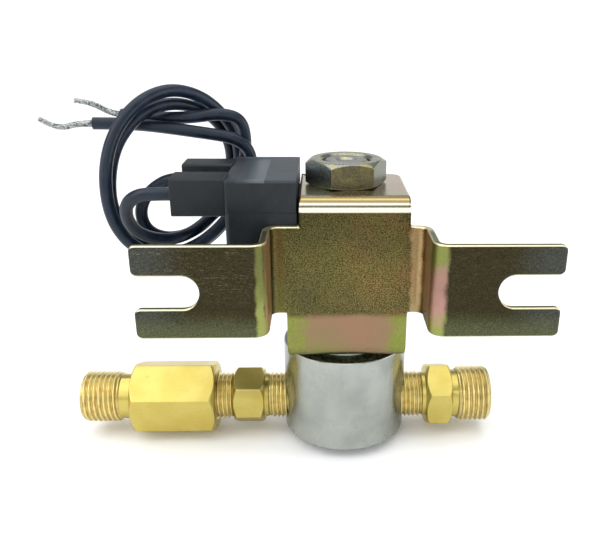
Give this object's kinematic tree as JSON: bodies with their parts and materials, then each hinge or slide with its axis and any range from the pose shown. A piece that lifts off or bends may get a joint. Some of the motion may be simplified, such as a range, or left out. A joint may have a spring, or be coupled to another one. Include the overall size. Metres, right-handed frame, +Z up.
{
  "type": "solenoid valve",
  "caption": "Normally closed water solenoid valve with a folded mounting yoke, moulded coil, flying leads and brass tube fittings at both ports.",
  "frame": {"origin": "centre of the valve body's flat base, on the plunger axis", "axes": "+X out of the outlet, +Z up the plunger axis towards the nut, -Y towards the side that the mounting ears stand forward on"},
  "size_m": [0.1025, 0.0487, 0.0744],
  "materials": {
    "zinc_steel": "yellow zinc plate, satin",
    "nut_steel": "zinc plate, satin",
    "body_steel": "turned, satin",
    "guide_steel": "drawn, bright",
    "core_steel": "turned",
    "fitting_brass": "turned, bright",
    "terminal_brass": "stamped",
    "copper": "enamelled wire",
    "tinned_wire": "twisted strands",
    "black_moulding": "moulded, satin",
    "bobbin_plastic": "moulded",
    "tape": "polyester tape",
    "lead_insulation": "glossy",
    "seal_rubber": "moulded",
    "mesh_steel": "woven mesh"
  },
  "bodies": {
    "valve": {"yoke_bracket": "zinc_steel", "coil_nut": "nut_steel", "valve_body": "body_steel", "core_tube": "guide_steel", "fixed_core": "core_steel", "plunger_spring": "guide_steel", "shading_ring": "copper", "body_o_ring": "seal_rubber", "tube_spacer": "fitting_brass", "retaining_ring": "fitting_brass", "strainer_body": "fitting_brass", "inlet_nipple": "fitting_brass", "outlet_connector": "fitting_brass", "strainer_screen": "mesh_steel", "screen_collar": "seal_rubber", "flow_washer": "seal_rubber", "bobbin": "bobbin_plastic", "copper_winding": "copper", "winding_tape": "tape", "coil_case": "black_moulding", "spade_terminal_front": "terminal_brass", "spade_terminal_rear": "terminal_brass", "connector_housing_front": "black_moulding", "connector_housing_rear": "black_moulding", "crimp_receptacle_front": "terminal_brass", "crimp_receptacle_rear": "terminal_brass", "lead_wire_front": "lead_insulation", "lead_wire_rear": "lead_insulation", "bare_end_front": "tinned_wire", "bare_end_rear": "tinned_wire"},
    "plunger": {"plunger": "core_steel", "plunger_seal": "seal_rubber"}
  },
  "joints": [
    {"name": "plunger_lift", "type": "slide", "parent": "valve", "child": "plunger", "axis": [0, 0, 1], "range_m": [0, 0.0015], "stiffness_N_per_m": 150, "springref_m": -0.008, "deforming": ["plunger_spring"]}
  ]
}
